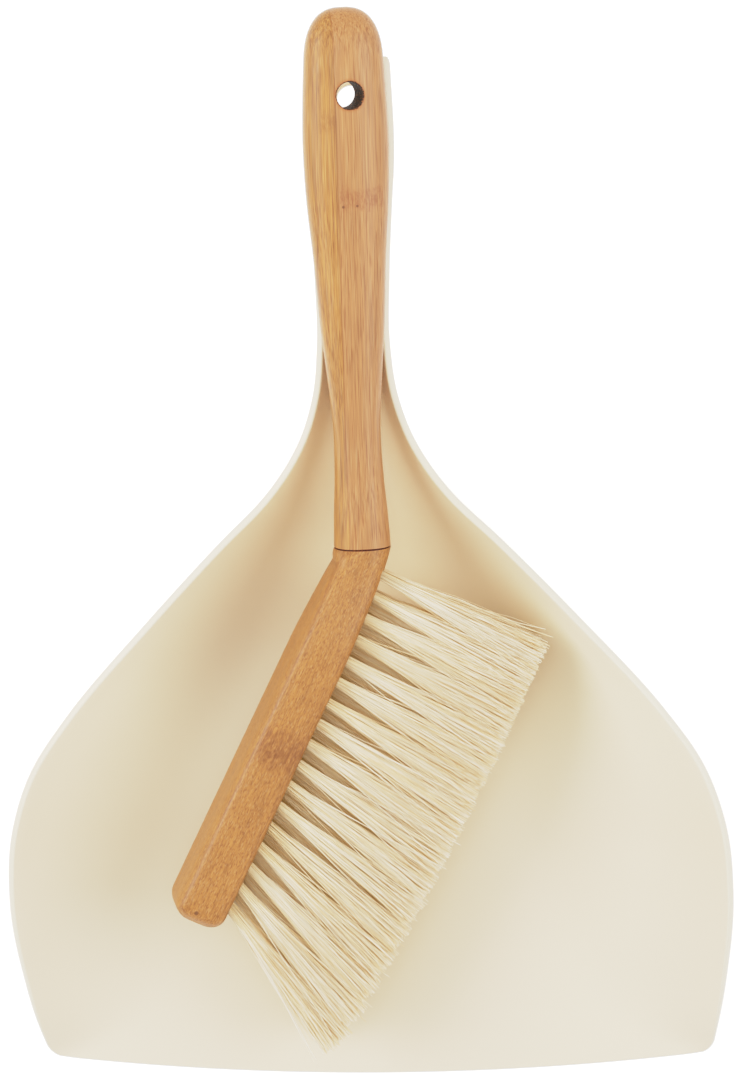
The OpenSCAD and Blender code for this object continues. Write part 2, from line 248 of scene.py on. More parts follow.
class Wiring:
    """Short words for wiring one node tree."""

    def __init__(self, tree: bpy.types.NodeTree) -> None:
        """Starts wiring a tree."""
        self.tree = tree

    def add(self, kind: str, values: dict | None = None, **settings: object) -> bpy.types.Node:
        """Adds a node.

        Args:
            kind: Blender's name for the node.
            values: what goes into its inputs, by name or number.
            settings: the node's own settings.

        Returns:
            The new node.
        """
        node = self.tree.nodes.new(kind)
        for name, setting in settings.items():
            setattr(node, name, setting)
        for name, value in (values or {}).items():
            self.plug(value, node.inputs[name])
        return node

    def plug(self, value: Value, into: bpy.types.NodeSocket) -> None:
        """Links a socket into another, or sets its value.

        Args:
            value: a socket, or a plain value.
            into: the input that takes it.
        """
        if isinstance(value, bpy.types.NodeSocket):
            self.tree.links.new(value, into)
        else:
            into.default_value = value

    def math(self, operation: str, *values: Value, clamp: bool = False) -> bpy.types.NodeSocket:
        """A sum of numbers.

        Args:
            operation: Blender's name for the sum.
            values: what goes into it, in order.
            clamp: whether the result is kept from 0 to 1.

        Returns:
            The result.
        """
        node = self.add("ShaderNodeMath", dict(enumerate(values)), operation=operation)
        node.use_clamp = clamp
        return node.outputs[0]

    def vector(self, operation: str, *values: Value) -> bpy.types.NodeSocket:
        """A sum of vectors, or the number that it gives.

        Args:
            operation: Blender's name for the sum.
            values: what goes into it, in order.

        Returns:
            The result.
        """
        node = self.add("ShaderNodeVectorMath", dict(enumerate(values)), operation=operation)
        number = operation in {"LENGTH", "DISTANCE", "DOT_PRODUCT"}
        return node.outputs["Value" if number else "Vector"]

    def scaled(self, vector: Value, size: Value) -> bpy.types.NodeSocket:
        """A vector times a number."""
        node = self.add("ShaderNodeVectorMath", {0: vector, "Scale": size}, operation="SCALE")
        return node.outputs["Vector"]

    def parts(self, vector: Value) -> tuple:
        """X, Y and Z of a vector."""
        return tuple(self.add("ShaderNodeSeparateXYZ", {0: vector}).outputs)

    def noise(self, vector: Value, scale: float, detail: float = 2.0,
              rough: float = 0.5) -> bpy.types.NodeSocket:
        """Soft noise about 0.5."""
        values = {"Vector": vector, "Scale": scale, "Detail": detail, "Roughness": rough}
        return self.add("ShaderNodeTexNoise", values).outputs["Fac"]

    def streaks(self, vector: Value, across: float, along: float, detail: float = 2.0,
                rough: float = 0.5, shift: float = 0.0) -> bpy.types.NodeSocket:
        """Noise drawn out along Y.

        Args:
            vector: place in millimetres.
            across: streaks in a millimetre across.
            along: streaks in a millimetre along.
            detail: layers of finer noise.
            rough: strength of the finer layers.
            shift: offset that keeps two patterns apart.

        Returns:
            Noise about 0.5.
        """
        drawn = self.vector("MULTIPLY_ADD", vector, (across, along, across), (shift, shift, shift))
        return self.noise(drawn, 1.0, detail, rough)

    def between(self, value: Value, low: float, high: float,
                first: float = 0.0, last: float = 1.0) -> bpy.types.NodeSocket:
        """Goes smoothly from first to last as value goes from low to high."""
        values = {"Value": value, "From Min": low, "From Max": high, "To Min": first, "To Max": last}
        return self.add("ShaderNodeMapRange", values, interpolation_type="SMOOTHSTEP").outputs[0]

    def mix(self, share: Value, first: Value, second: Value, how: str = "MIX") -> bpy.types.NodeSocket:
        """Mixes two colours.

        Args:
            share: how much of the second.
            first: the first colour.
            second: the second colour.
            how: Blender's name for the way they mix.

        Returns:
            The mixed colour.
        """
        node = self.add("ShaderNodeMix", {"Factor": share}, data_type="RGBA", blend_type=how)
        for colour, socket in ((first, node.inputs[6]), (second, node.inputs[7])):
            self.plug((*colour, 1.0) if isinstance(colour, tuple) else colour, socket)
        return node.outputs[2]

    def ramp(self, value: Value, stops: list, step: bool = False) -> bpy.types.Node:
        """Colours along a value.

        Args:
            value: number from 0 to 1.
            stops: place, colour and strength of each stop.
            step: whether each colour holds up to the next stop.

        Returns:
            The ramp node, with outputs Color and Alpha.
        """
        node = self.add("ShaderNodeValToRGB", {"Fac": value})
        ramp = node.color_ramp
        ramp.interpolation = "CONSTANT" if step else "LINEAR"
        while len(ramp.elements) < len(stops):
            ramp.elements.new(1.0)
        for element, (place, colour, strength) in zip(ramp.elements, stops):
            element.position = place
            element.color = (*colour, strength)
        return node

    def bump(self, height: Value, strength: float, distance: float,
             under: Value | None = None) -> bpy.types.NodeSocket:
        """A normal that follows a height in metres times distance.

        Args:
            height: the height.
            strength: how strongly it shows.
            distance: metres to one unit of height.
            under: another normal below this one.

        Returns:
            The normal.
        """
        values = {"Height": height, "Strength": strength, "Distance": distance}
        if under is not None:
            values["Normal"] = under
        return self.add("ShaderNodeBump", values).outputs["Normal"]

    def place(self) -> bpy.types.NodeSocket:
        """Place on the object."""
        return self.add("ShaderNodeTexCoord").outputs["Object"]

    def place_in(self, held: Matrix) -> bpy.types.NodeSocket:
        """Place in millimetres in a frame that is held in the object.

        Args:
            held: the frame, in millimetres.

        Returns:
            The place as that frame sees it.
        """
        values = {
            "Vector": self.place(),
            "Location": tuple(held.to_translation() * MM),
            "Rotation": tuple(held.to_euler("XYZ")),
            "Scale": (MM, MM, MM),
        }
        return self.add("ShaderNodeMapping", values, vector_type="TEXTURE").outputs[0]


def start_material(name: str) -> tuple:
    """A new material.

    Args:
        name: name of the finish.

    Returns:
        The material, the wiring of its tree, and its shader node.
    """
    material = bpy.data.materials.new(name)
    material.use_nodes = True
    return material, Wiring(material.node_tree), material.node_tree.nodes["Principled BSDF"]


# ------------------------------------------------------------------ finishes


@dataclass(frozen=True)
class CreamPlastic:
    """Satin moulded plastic, with painted warm shade in the deep narrow neck and near the brush, painted
    light on the outer walls and a painted highlight on the rim edge.
    """

    light: Colour = (0.800, 0.675, 0.490)
    painted_shade_tint: Colour = (0.925, 0.755, 0.515)
    # wall is a painted light tint for the outer walls of the tray.
    wall: Colour = (0.970, 0.850, 0.625)
    # edge is a painted highlight tint for the rounded rim edge.
    edge: Colour = (0.800, 0.725, 0.545)
    neck_y: float = 168.0

    def make(self) -> bpy.types.Material:
        """Builds the material.

        Returns:
            The material.
        """
        material, wire, shader = start_material("cream_plastic")
        spot = wire.scaled(wire.place(), 1 / MM)
        x, y, _ = wire.parts(spot)
        cloudy = wire.noise(spot, 0.02, 3.0)
        # Painted warm shade and bounced light: the neck and the middle of the tray are tinted warmer.
        narrow = wire.between(y, 20.0, self.neck_y - 22)
        close = wire.between(wire.math("ABSOLUTE", x), 10.0, 80.0, 1.0, 0.0)
        painted_shade_share = wire.math("MULTIPLY", narrow, close)
        painted_shade_share = wire.math("ADD", painted_shade_share, wire.between(cloudy, 0.35, 0.65, -0.05, 0.05), clamp=True)
        colour = wire.mix(painted_shade_share, self.light, self.painted_shade_tint)
        # Painted light: the outer walls of the tray are tinted lighter.
        painted_wall_light = wire.between(wire.math("ABSOLUTE", x), 32.0, 84.0, 0.0, 0.75)
        colour = wire.mix(wire.math("MULTIPLY", painted_wall_light, wire.between(y, 15.0, 75.0)), colour, self.wall)
        # Painted highlight: the rounded rim edge is tinted lighter and cooler.
        rim = wire.add("ShaderNodeAttribute", attribute_name="rim").outputs["Fac"]
        wire.plug(wire.mix(wire.math("MULTIPLY", rim, 0.7), colour, self.edge), shader.inputs["Base Color"])
        grain = wire.noise(spot, 2.2, 3.0, 0.6)
        drag = wire.streaks(spot, 1.1, 0.03, 2.0, 0.6)
        scuffs = wire.math("MULTIPLY", wire.between(drag, 0.64, 0.72), wire.between(y, 10.0, -50.0))
        satin = wire.between(cloudy, 0.3, 0.7, 0.37, 0.45)
        rough = wire.math("ADD", satin, wire.math("MULTIPLY", scuffs, 0.06))
        wire.plug(rough, shader.inputs["Roughness"])
        normal = wire.bump(grain, 0.12, 0.00006)
        wire.plug(wire.bump(scuffs, 0.2, 0.00002, normal), shader.inputs["Normal"])
        shader.inputs["Specular IOR Level"].default_value = 0.45
        return material


@dataclass(frozen=True)
class Strip:
    """One lamination of the bamboo, up to its right edge across the wood."""

    edge: float
    tone: Colour
    streaky: float


class Cut(Enum):
    """How the bamboo lies in a part."""

    LONG = "long fibres along the handle"
    SHORT = "short flecks along the head"


@dataclass(frozen=True)
class Bamboo:
    """Oiled laminated bamboo, with its fibres along Y of the part's own frame."""

    name: str
    held: Matrix
    cut: Cut
    strips: tuple
    span: float = 20.0
    marks: tuple = ()
    bore: tuple | None = None
    pore: Colour = (0.215, 0.080, 0.020)
    sheen: Colour = (0.80, 0.52, 0.27)
    char_and_bore_shade: Colour = (0.040, 0.012, 0.004)
    ember: Colour = (0.400, 0.140, 0.030)

    def make(self) -> bpy.types.Material:
        """Builds the material.

        Returns:
            The material.
        """
        material, wire, shader = start_material(self.name)
        spot = wire.place_in(self.held)
        x, y, z = wire.parts(spot)
        long = self.cut is Cut.LONG
        broad = wire.streaks(spot, 0.16, 0.010, 1.0)
        fibre = wire.streaks(spot, 1.6, 0.018 if long else 0.10, 4.0, 0.62)
        fine = wire.streaks(spot, 4.2, 0.045 if long else 0.50, 2.0, 0.6, 7.0)
        wander = wire.math("MULTIPLY_ADD", wire.streaks(spot, 0.0, 0.02), 1.4, -0.7)
        across = wire.math("ADD", x, wander)
        stops, left = [], 0.0
        for strip in self.strips:
            stops.append((left, strip.tone, strip.streaky))
            left = (strip.edge + self.span) / (2 * self.span)
        share = wire.math("DIVIDE", wire.math("ADD", across, self.span), 2 * self.span)
        tone = wire.ramp(share, stops, step=True)
        colour = tone.outputs["Color"]
        coarse = wire.between(fibre, 0.28, 0.72, -0.5, 0.5)
        figure = wire.math("ADD", coarse, wire.between(fine, 0.3, 0.7, -0.28, 0.28))
        figure = wire.math("MULTIPLY_ADD", wire.between(broad, 0.35, 0.65, -0.5, 0.5), 0.30, figure)
        light = wire.math("MULTIPLY_ADD", figure, tone.outputs["Alpha"], 1.0)
        colour = wire.scaled(colour, light)
        colour = self.pores(wire, spot, colour)
        for strip in self.strips[:-1]:
            gap = wire.math("ABSOLUTE", wire.math("SUBTRACT", across, strip.edge))
            colour = wire.mix(wire.between(gap, 0.12, 0.34, 0.35, 0.0), colour, self.pore)
        for mark in self.marks:
            colour = mark.draw(wire, spot, colour)
        rough = wire.between(fibre, 0.3, 0.7, 0.36, 0.48)
        if self.bore is not None:
            colour, rough = self.burn_and_shade_bore(wire, x, y, z, colour, rough)
        wire.plug(colour, shader.inputs["Base Color"])
        wire.plug(rough, shader.inputs["Roughness"])
        wire.plug(wire.bump(wire.math("ADD", fibre, fine), 0.25, 0.00008), shader.inputs["Normal"])
        shader.inputs["Specular IOR Level"].default_value = 0.40
        shader.inputs["Coat Weight"].default_value = 0.14
        shader.inputs["Coat Roughness"].default_value = 0.30
        return material

    def pores(self, wire: Wiring, spot: Value, colour: Value) -> bpy.types.NodeSocket:
        """Draws the thin dark vessels of the bamboo.

        Args:
            wire: wiring of the material.
            spot: place in the part's frame.
            colour: the wood so far.

        Returns:
            The wood with its vessels.
        """
        long = self.cut is Cut.LONG
        thin = wire.streaks(spot, 2.4, 0.05 if long else 0.75, 1.0, 0.5, 31.0)
        vessels = wire.between(thin, 0.54 if long else 0.50, 0.70, 0.0, 0.52 if long else 0.55)
        pale = wire.streaks(spot, 2.6, 0.05 if long else 0.6, 1.0, 0.5, 57.0)
        colour = wire.mix(vessels, colour, self.pore)
        return wire.mix(wire.between(pale, 0.52, 0.72, 0.0, 0.16), colour, self.sheen)

    def burn_and_shade_bore(self, wire: Wiring, x: Value, y: Value, z: Value, colour: Value, rough: Value) -> tuple:
        """Chars the wall of the hanging hole and paints the shade of the deep bore into it; its near-black
        colour is partly char and partly painted shade.

        Args:
            wire: wiring of the material.
            x, y, z: place in the part's frame.
            colour: colour of the wood.
            rough: roughness of the wood.

        Returns:
            Colour and roughness with the charred wall.
        """
        hole_x, hole_y, radius = self.bore
        flat = wire.add("ShaderNodeCombineXYZ", {0: x, 1: y}).outputs[0]
        away = wire.vector("DISTANCE", flat, (hole_x, hole_y, 0.0))
        spot = wire.add("ShaderNodeCombineXYZ", {0: x, 1: y, 2: z}).outputs[0]
        ragged = wire.math("MULTIPLY_ADD", wire.noise(spot, 1.1, 3.0), 0.7, -0.35)
        edge = wire.math("ADD", away, ragged)
        scorch = wire.between(edge, radius + 0.15, radius + 1.5, 0.75, 0.0)
        # Char and painted shade: the bore wall is painted near black.
        charred = wire.between(edge, radius + 0.1, radius + 0.55, 1.0, 0.0)
        upright = wire.vector("MULTIPLY", spot, (2.2, 2.2, 0.35))
        embers = wire.between(wire.noise(upright, 1.0, 3.0, 0.6), 0.52, 0.70)
        char_and_bore_shade = wire.mix(embers, self.char_and_bore_shade, self.ember)
        colour = wire.mix(scorch, colour, self.ember)
        colour = wire.mix(charred, colour, char_and_bore_shade)
        return colour, wire.math("MAXIMUM", rough, charred)


@dataclass(frozen=True)
class NodeBand:
    """A joint of the bamboo's cane: a darker mottled band across the wood."""

    place: float
    half: float
    tone: Colour
    strength: float
    left: float = -30.0
    right: float = 30.0
    mottle: float = 0.9
    fade: float = 0.8

    def draw(self, wire: Wiring, spot: Value, colour: Value) -> bpy.types.NodeSocket:
        """Draws the band over the wood.

        Args:
            wire: wiring of the material.
            spot: place in the part's frame.
            colour: the wood so far.

        Returns:
            The wood with the band.
        """
        x, y, _ = wire.parts(spot)
        uneven = wire.noise(spot, 0.30, 3.0, 0.6)
        drift = wire.math("MULTIPLY_ADD", uneven, self.half * 1.6, self.half * -0.8 - self.place)
        away = wire.math("ABSOLUTE", wire.math("ADD", y, drift))
        band = wire.between(away, self.half * 0.20, self.half, 1.0, 0.0)
        after = wire.between(x, self.left, self.left + self.fade)
        before = wire.between(x, self.right, self.right + self.fade, 1.0, 0.0)
        inside = wire.math("MULTIPLY", after, before)
        mottled = wire.streaks(spot, self.mottle, self.mottle * 0.24, 3.0, 0.65)
        spots = wire.between(mottled, 0.36, 0.60, 0.12, 1.0)
        share = wire.math("MULTIPLY", band, inside)
        share = wire.math("MULTIPLY", share, wire.math("MULTIPLY", spots, self.strength))
        return wire.mix(share, colour, self.tone)


@dataclass(frozen=True)
class Speck:
    """A small dark dot in the wood."""

    x: float
    y: float
    radius: float
    tone: Colour = (0.15, 0.06, 0.02)
    strength: float = 0.8
    front: bool = True

    def draw(self, wire: Wiring, spot: Value, colour: Value) -> bpy.types.NodeSocket:
        """Draws the dot over the wood, on its upper or its lower face.

        Args:
            wire: wiring of the material.
            spot: place in the part's frame.
            colour: the wood so far.

        Returns:
            The wood with the dot.
        """
        x, y, z = wire.parts(spot)
        flat = wire.add("ShaderNodeCombineXYZ", {0: x, 1: y}).outputs[0]
        away = wire.vector("DISTANCE", flat, (self.x, self.y, 0.0))
        dot = wire.between(away, self.radius * 0.6, self.radius * 1.2, self.strength, 0.0)
        facing = wire.math("GREATER_THAN" if self.front else "LESS_THAN", z, 0.0)
        return wire.mix(wire.math("MULTIPLY", dot, facing), colour, self.tone)


@dataclass(frozen=True)
class DarkRing:
    """Dark brown stained ring in the joint, with a faint grain round it."""

    dark: Colour = (0.060, 0.012, 0.004)
    worn: Colour = (0.150, 0.036, 0.010)

    def make(self) -> bpy.types.Material:
        """Builds the material.

        Returns:
            The material.
        """
        material, wire, shader = start_material("dark_ring")
        spot = wire.scaled(wire.place(), 1 / MM)
        grain = wire.noise(spot, 1.6, 3.0, 0.6)
        wire.plug(wire.mix(wire.between(grain, 0.4, 0.7), self.dark, self.worn), shader.inputs["Base Color"])
        wire.plug(wire.between(grain, 0.3, 0.7, 0.34, 0.52), shader.inputs["Roughness"])
        wire.plug(wire.bump(grain, 0.3, 0.00005), shader.inputs["Normal"])
        shader.inputs["Specular IOR Level"].default_value = 0.20
        return material


@dataclass(frozen=True)
class DrawnSteel:
    """Plain drawn steel of the stud and the tuft anchors."""

    held: Matrix
    tone: Colour = (0.56, 0.57, 0.58)
    scored: Colour = (0.42, 0.42, 0.43)

    def make(self) -> bpy.types.Material:
        """Builds the material.

        Returns:
            The material.
        """
        material, wire, shader = start_material("drawn_steel")
        spot = wire.place_in(self.held)
        lines = wire.streaks(spot, 6.0, 0.25, 3.0)
        tone = wire.mix(wire.between(lines, 0.35, 0.65), self.tone, self.scored)
        wire.plug(tone, shader.inputs["Base Color"])
        wire.plug(wire.between(lines, 0.3, 0.7, 0.24, 0.40), shader.inputs["Roughness"])
        wire.plug(wire.bump(lines, 0.15, 0.00003), shader.inputs["Normal"])
        shader.inputs["Metallic"].default_value = 1.0
        return material


@dataclass(frozen=True)
class PaleFibre:
    """Pale plant fibre: each bristle has its own tone, darkens to its root as painted shade, and carries a
    faint painted glow.
    """

    pale: Colour = (0.950, 0.850, 0.695)
    gold: Colour = (0.870, 0.680, 0.440)
    # root is painted shade towards the roots, where the tufts shade each other.
    root: Colour = (0.560, 0.370, 0.140)
    # through is the colour of a painted warm glow that stands in for light carried through the fibres.
    through: Colour = (1.000, 0.640, 0.160)
    painted_glow_strength: float = 0.055

    def make(self) -> bpy.types.Material:
        """Builds the material.

        Returns:
            The material.
        """
        material, wire, shader = start_material("pale_fibre")
        shade = wire.add("ShaderNodeAttribute", attribute_name="shade").outputs["Fac"]
        along = wire.add("ShaderNodeAttribute", attribute_name="along").outputs["Fac"]
        own = wire.mix(wire.between(shade, 0.40, 0.90, 0.0, 0.90), self.pale, self.gold)
        # Painted shade: each bristle darkens towards its root.
        colour = wire.mix(wire.between(along, 0.0, 0.30, 0.60, 0.0), own, self.root)
        wire.plug(colour, shader.inputs["Base Color"])
        wire.plug(wire.between(shade, 0.0, 1.0, 0.38, 0.55), shader.inputs["Roughness"])
        shader.inputs["Specular IOR Level"].default_value = 0.35
        # Painted glow: the bristles give off a faint warm light of their own.
        shader.inputs["Emission Color"].default_value = (*self.through, 1.0)
        shader.inputs["Emission Strength"].default_value = self.painted_glow_strength
        return material


@dataclass(frozen=True)
class PaleFloor:
    """Plain pale studio floor."""

    tone: Colour = (0.62, 0.62, 0.62)
    glow: float = 0.92

    def make(self) -> bpy.types.Material:
        """Builds the material.

        Returns:
            The material.
        """
        material, wire, shader = start_material("pale_floor")
        shader.inputs["Emission Color"].default_value = (1.0, 1.0, 1.0, 1.0)
        shader.inputs["Emission Strength"].default_value = self.glow
        cloudy = wire.noise(wire.place(), 3.0, 2.0)
        wire.plug(wire.between(cloudy, 0.3, 0.7, 0.86, 0.90), shader.inputs["Roughness"])
        shader.inputs["Base Color"].default_value = (*self.tone, 1.0)
        shader.inputs["Specular IOR Level"].default_value = 0.1
        return material


# ------------------------------------------------------------------ dust pan


@dataclass
class DustPan:
    """The pan: tray, neck and channel handle in one moulded shell."""

    width: float = 245.0
    length: float = 343.4
    rim: float = 39.0
    wall: float = 2.6
    lip: float = 1.2
    neck: float = 24.9
    grip: float = 30.2
    front: float = 56.5
    lip_bulge: float = 6.4
    lip_corner: float = 5.0
    end_corner: float = 3.0
    channel_depth: float = 9.4
    hole_radius: float = 4.4
    hole_from_end: float = 12.7
    edge_round: float = 0.7
    foot_share: float = 0.275
    foot_ease: float = 30.0
    finish: CreamPlastic = field(default_factory=CreamPlastic)

    def __post_init__(self) -> None:
        """Works out the lines of the shell."""
        self.tail = self.length - self.front - self.lip_bulge
        half, neck, grip, rim, tail = self.width / 2, self.neck / 2, self.grip / 2, self.rim, self.tail
        self.neck_at = 0.6637 * tail

        def channel(y: float) -> tuple:
            """Rim and underside of the channel handle."""
            top = rim + 9.2 + 0.018 * (y - self.neck_at)
            return top, top - self.channel_depth

        front = self.front
        self.lines = Lines((
            (-front, 0.937 * half, self.lip, 0, 0.94),
            (-0.8 * front, 0.956 * half, 0.30 * rim, 0, 0.74),
            (-0.5 * front, 0.980 * half, 0.54 * rim, 0, 0.57),
            (0, half, 0.83 * rim, 0, 0.44),
            (0.0896 * tail, 0.980 * half, 0.95 * rim, 0, 0.40),
            (0.1592 * tail, 0.921 * half, 0.99 * rim, 0, 0.38),
            (0.2189 * tail, 0.826 * half, rim, 0, 0.36),
            (0.3284 * tail, 0.602 * half, rim + 0.4, 0.03 * rim, 0.30),
            (0.4229 * tail, 0.394 * half, rim + 0.8, 0.16 * rim, 0.20),
            (0.4776 * tail, 0.266 * half, rim + 1.4, 0.32 * rim, 0.12),
            (0.5373 * tail, 1.68 * neck, rim + 3, 0.53 * rim, 0.08),
            (0.5970 * tail, 1.18 * neck, rim + 6, 0.77 * rim, 0.10),
            (self.neck_at, neck, *channel(self.neck_at), 0.20),
            (0.7363 * tail, 0.84 * grip, *channel(0.7363 * tail), 0.30),
            (0.8308 * tail, 0.94 * grip, *channel(0.8308 * tail), 0.32),
            (0.8756 * tail, grip, *channel(0.8756 * tail), 0.32),
            (tail, 0.95 * grip, *channel(tail), 0.32),
        ))

    def under(self, y: np.ndarray) -> np.ndarray:
        """Height of the underside along the middle."""
        start = np.clip((y - self.foot_share * self.tail) / self.foot_ease, 0.0, 1.0)
        return start ** 2 * (3 - 2 * start) * np.maximum(0.0, self.lines.at(3, y))

    def shell(self, y: np.ndarray) -> np.ndarray:
        """Thickness of the shell, which thins towards the lip."""
        thin = np.maximum(0.0, 1 - (y + self.front) / 40.0)
        return self.wall - (self.wall - self.lip) * thin ** 2

    def inner_half(self, y: np.ndarray) -> np.ndarray:
        """Half width inside the rim, with the corners rounded off.

        Args:
            y: place along the pan.

        Returns:
            The half width at each place.
        """
        half, rim, flat = self.lines.at(1, y), self.lines.at(2, y), self.lines.at(4, y)
        steep = 2.3 * (rim - self.under(y)) / (half * (1 - flat))

        def corner(far: np.ndarray, radius: float) -> np.ndarray:
            """Width lost to a rounded corner."""
            short = np.clip(radius - far, 0.0, radius)
            return radius - np.sqrt(radius ** 2 - short ** 2)

        return (
            half - self.shell(y) * steep / np.sqrt(1 + steep ** 2)
            - corner(y + self.front, self.lip_corner) - corner(self.tail - y, self.end_corner)
        )

    def inner(self, y: np.ndarray, s: np.ndarray) -> np.ndarray:
        """Inner face of the shell.

        Args:
            y: place along the pan.
            s: place across it, from -1 at the left rim to 1 at the right.

        Returns:
            The points.
        """
        rim, flat = self.lines.at(2, y), self.lines.at(4, y)
        floor = self.under(y) + self.shell(y)
        bulge = self.lip_bulge * np.maximum(0.0, -y / self.front) ** 1.5
        rise = np.maximum(0.0, (np.abs(s) - flat) / (1 - flat)) ** 2.3
        return np.stack([
            s * self.inner_half(y), y - bulge * (1 - s * s), floor + (np.maximum(rim, floor) - floor) * rise,
        ], axis=-1)

    def normal(self, y: np.ndarray, s: np.ndarray) -> np.ndarray:
        """Direction into the tray, square to the inner face.

        Args:
            y: place along the pan.
            s: place across it, from -1 to 1.

        Returns:
            A vector of length 1 at each place.
        """
        step = 0.05
        ya, yb = np.maximum(y - step, -self.front), np.minimum(y + step, self.tail)
        sa, sb = np.maximum(s - step / 10, -1.0), np.minimum(s + step / 10, 1.0)
        return unit(np.cross(self.inner(y, sb) - self.inner(y, sa), self.inner(yb, s) - self.inner(ya, s)))

    def stations(self) -> np.ndarray:
        """Places along the pan where a row of points lies, closer at both ends.

        Returns:
            The places, from the lip to the tail.
        """
        near = 1 - np.cos(np.radians(np.linspace(0, 72, 9)))
        first = -self.front + self.lip_corner * 1.2 * near
        last = self.tail - self.end_corner * 1.2 * near[::-1]
        between = np.linspace(first[-1], last[0], 158)[1:-1]
        return np.concatenate([first, between, last])

    def build_shell(self) -> bpy.types.Object:
        """Builds both faces and the rounded edge that joins them.

        Returns:
            The shell, without its hole.
        """
        across = 96
        y = self.stations()
        radius = np.minimum(self.edge_round, 0.42 * self.shell(y))
        y = y[0] + radius[0] + (y - y[0]) * (y[-1] - radius[-1] - y[0] - radius[0]) / (y[-1] - y[0])
        radius = np.minimum(self.edge_round, 0.42 * self.shell(y))
        one = np.ones_like(y)
        slant = np.linalg.norm(self.inner(y, one) - self.inner(y, one * 0.99), axis=-1) / 0.01
        reach = 1 - radius / slant
        ys = np.repeat(y[:, None], across + 1, axis=1)
        ss = np.linspace(-1, 1, across + 1)[None, :] * reach[:, None]
        inner, normal = self.inner(ys, ss), self.normal(ys, ss)
        outer = inner - self.shell(ys)[..., None] * normal
        outer[..., 2] = np.where(outer[..., 2] < 0.06, 0.0, outer[..., 2])
        rows, row = len(y), across + 1
        loop = (
            [(0, j) for j in range(row)] + [(i, across) for i in range(1, rows)]
            + [(rows - 1, j) for j in range(across - 1, -1, -1)] + [(i, 0) for i in range(rows - 2, 0, -1)]
        )
        ring = np.array([inner[i, j] for i, j in loop])
        facing = np.array([normal[i, j] for i, j in loop])
        size = np.array([radius[i] for i, j in loop])[:, None]
        run = unit(np.roll(ring, -1, axis=0) - ring) + unit(ring - np.roll(ring, 1, axis=0))
        outward = unit(np.cross(unit(run), facing))
        far = np.array([outer[i, j] for i, j in loop])
        down = unit(far - ring)
        bands = []
        for turn in np.radians([22.5, 45, 67.5, 90]):
            bands.append(ring + down * size * (1 - math.cos(turn)) + outward * size * math.sin(turn))
        for turn in np.radians([90, 67.5, 45, 22.5]):
            bands.append(far - down * size * (1 - math.cos(turn)) + outward * size * math.sin(turn))
        sheet, count = rows * row, len(loop)
        points = np.concatenate([inner.reshape(-1, 3), outer.reshape(-1, 3)] + bands)
        points[:, 1] = np.minimum(points[:, 1], self.tail)
        points[:, 2] = np.maximum(points[:, 2], 0.0)
        faces = []
        for i in range(rows - 1):
            for j in range(across):
                p = i * row + j
                faces.append((p, p + 1, p + row + 1, p + row))
                q = p + sheet
                faces.append((q, q + row, q + row + 1, q + 1))
        levels = [[i * row + j for i, j in loop]]
        levels += [[2 * sheet + m * count + k for k in range(count)] for m in range(len(bands))]
        levels.append([sheet + i * row + j for i, j in loop])
        for upper, lower in zip(levels, levels[1:]):
            for k in range(count):
                n = (k + 1) % count
                faces.append((upper[k], lower[k], lower[n], upper[n]))
        made = make_object("pan_shell", points, faces)
        # Marks the rounded rim edge, where the material paints a highlight.
        rim = made.data.attributes.new("rim", "FLOAT", "POINT")
        rim.data.foreach_set("value", [0.0] * (2 * sheet) + [1.0] * (len(points) - 2 * sheet))
        return made

    def build(self) -> bpy.types.Object:
        """Builds the pan with its hanging hole.

        Returns:
            The pan.
        """
        made = self.build_shell()
        hole_y = self.tail - self.hole_from_end
        low = float(self.under(np.array(hole_y)))
        profile = hole_profile(self.hole_radius, low, low + self.wall, 0.5)
        cut(made, [lathe("hole_cutter", profile, 72, Matrix.Translation((0, hole_y, 0)))])
        return settle(made, 40.0)

    def dress(self, made: bpy.types.Object) -> None:
        """Gives the pan its finish, its body and the node that it stands for.

        Args:
            made: the pan.
        """
        made.data.materials.clear()
        made.data.materials.append(self.finish.make())
        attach(made, PAN_BODY)
        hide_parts("dust_pan")


# ------------------------------------------------------------------ brush


@dataclass(frozen=True)
class BrushLie:
    """How the brush lies: its frame has +Y along the handle and +X to the bristles."""

    ring: tuple = (1.3, 118.539, 42.037)
    pitch: float = 9.4
    roll: float = 14.0
    crank: float = 27.5
    head_offset: float = 1.4

    def brush(self) -> Matrix:
        """Frame of the brush, at the middle of the joint ring.

        Returns:
            The frame, in millimetres.
        """
        pitched = Matrix.Rotation(math.radians(self.pitch), 4, "X")
        turned = pitched @ Matrix.Rotation(math.radians(self.roll), 4, "Y")
        return Matrix.Translation(self.ring) @ turned

    def head(self) -> Matrix:
        """Frame of the head, whose -Y runs to the toe."""
        cranked = Matrix.Rotation(-math.radians(self.crank), 4, "Z")
        return self.brush() @ cranked @ Matrix.Translation((self.head_offset, 0, 0))


HANDLE_STRIPS = (
    Strip(-12.2, (0.440, 0.208, 0.056), 0.42),
    Strip(-5.4, (0.425, 0.198, 0.055), 0.58),
    Strip(30.0, (0.445, 0.212, 0.080), 0.32),
)
HEAD_STRIPS = (
    Strip(-7.6, (0.420, 0.192, 0.050), 0.26),
    Strip(30.0, (0.400, 0.180, 0.046), 0.36),
)


